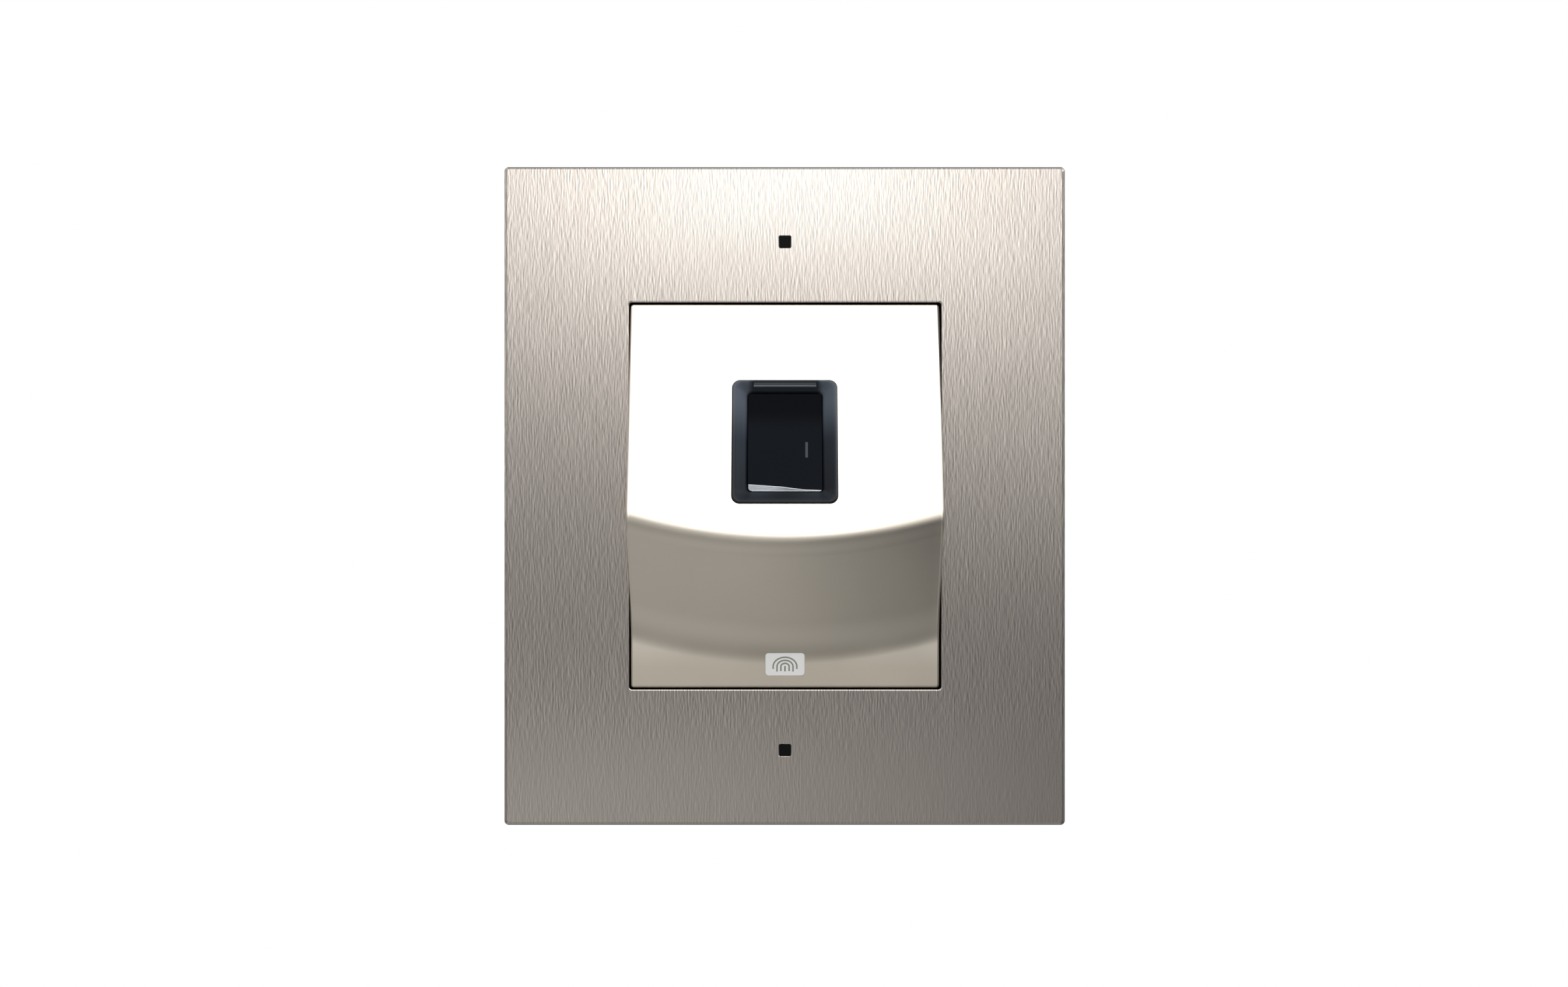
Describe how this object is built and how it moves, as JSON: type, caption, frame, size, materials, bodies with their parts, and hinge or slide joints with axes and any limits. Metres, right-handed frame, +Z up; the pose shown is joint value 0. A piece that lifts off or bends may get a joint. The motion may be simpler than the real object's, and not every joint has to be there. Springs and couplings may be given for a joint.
{
  "type": "fingerprint scanner terminal",
  "caption": "Flush-mounted biometric door terminal: brushed metal frame, nose-shaped satin module with a tilted fingerprint window, and the in-wall box behind it.",
  "frame": {"origin": "centre of the wall box's back face; the wall's surface is 45 mm in front of it, at Y = -0.045", "axes": "+Z up; -Y out of the wall, towards the person; +X to the right as seen from the front"},
  "size_m": [0.13, 0.0677, 0.153],
  "materials": {
    "brushed_nickel": "vertically brushed, nickel tone",
    "satin_nickel_coat": "fine satin metallic coat",
    "black_plastic": "fine textured",
    "box_plastic": "moulded, matt",
    "bezel_plastic": "smooth semi-gloss, blue-grey black",
    "smoked_diffuser": "smoked translucent diffuser",
    "sensor_glass": "polished, infrared-dark",
    "rubber": "matt",
    "foam_seal": "closed-cell foam",
    "badge_print": "satin printed label",
    "zinc_steel": "zinc plated",
    "chassis_black": "black powder coat on a zinc casting",
    "circuit_board": "green solder mask",
    "chip_epoxy": "moulded epoxy",
    "led_epoxy": "clear over phosphor",
    "terminal_green": "moulded",
    "relay_case": "moulded",
    "aluminium_can": "drawn can",
    "ivory_connector": "moulded",
    "ribbon_film": "polyester film over flat conductors",
    "spring_steel": "bright drawn wire"
  },
  "bodies": {
    "terminal": {"badge_plate": "badge_print", "board_screw_lower_left": "zinc_steel", "board_screw_lower_right": "zinc_steel", "board_screw_upper_left": "zinc_steel", "board_screw_upper_right": "zinc_steel", "buzzer": "chip_epoxy", "cable_grommet": "rubber", "camera_board": "circuit_board", "camera_connector": "ivory_connector", "capacitor": "aluminium_can", "chassis": "chassis_black", "chassis_screw_lower_left": "zinc_steel", "chassis_screw_lower_right": "zinc_steel", "chassis_screw_upper_left": "zinc_steel", "chassis_screw_upper_right": "zinc_steel", "cover_gasket": "rubber", "ethernet_jack": "zinc_steel", "frame_seal": "foam_seal", "front_frame": "brushed_nickel", "illumination_board": "circuit_board", "illumination_led_left": "led_epoxy", "illumination_led_right": "led_epoxy", "image_sensor": "chip_epoxy", "indicator_board": "circuit_board", "indicator_led_left": "led_epoxy", "indicator_led_right": "led_epoxy", "lens_barrel": "chip_epoxy", "light_bar": "smoked_diffuser", "lower_cover_screw": "zinc_steel", "lower_frame_screw": "zinc_steel", "lower_screw_plug": "black_plastic", "main_board": "circuit_board", "module_cover": "satin_nickel_coat", "module_screw_lower_left": "zinc_steel", "module_screw_lower_right": "zinc_steel", "module_screw_upper_left": "zinc_steel", "module_screw_upper_right": "zinc_steel", "platen_prism": "sensor_glass", "platen_seal": "rubber", "power_inductor": "chip_epoxy", "processor": "chip_epoxy", "rear_housing": "black_plastic", "relay": "relay_case", "reset_switch": "chip_epoxy", "ribbon_connector": "ivory_connector", "sensor_bezel": "bezel_plastic", "sensor_housing": "black_plastic", "sensor_ribbon": "ribbon_film", "sensor_screw_left": "zinc_steel", "sensor_screw_right": "zinc_steel", "tamper_spring": "spring_steel", "tamper_switch": "chip_epoxy", "terminal_header": "terminal_green", "terminal_plug": "terminal_green", "upper_cover_screw": "zinc_steel", "upper_frame_screw": "zinc_steel", "upper_screw_plug": "black_plastic", "wall_box": "box_plastic"},
    "tamper_pin": {"tamper_plunger": "ivory_connector"},
    "reset_cap": {"reset_button": "ivory_connector"}
  },
  "joints": [
    {"name": "tamper_slide", "type": "slide", "parent": "terminal", "child": "tamper_pin", "axis": [0, 1, 0], "range_m": [0, 0.001], "stiffness_N_per_m": 200, "deforming": ["tamper_spring"]},
    {"name": "reset_press", "type": "slide", "parent": "terminal", "child": "reset_cap", "axis": [0, -1, 0], "range_m": [0, 0.00025], "stiffness_N_per_m": 1000}
  ]
}
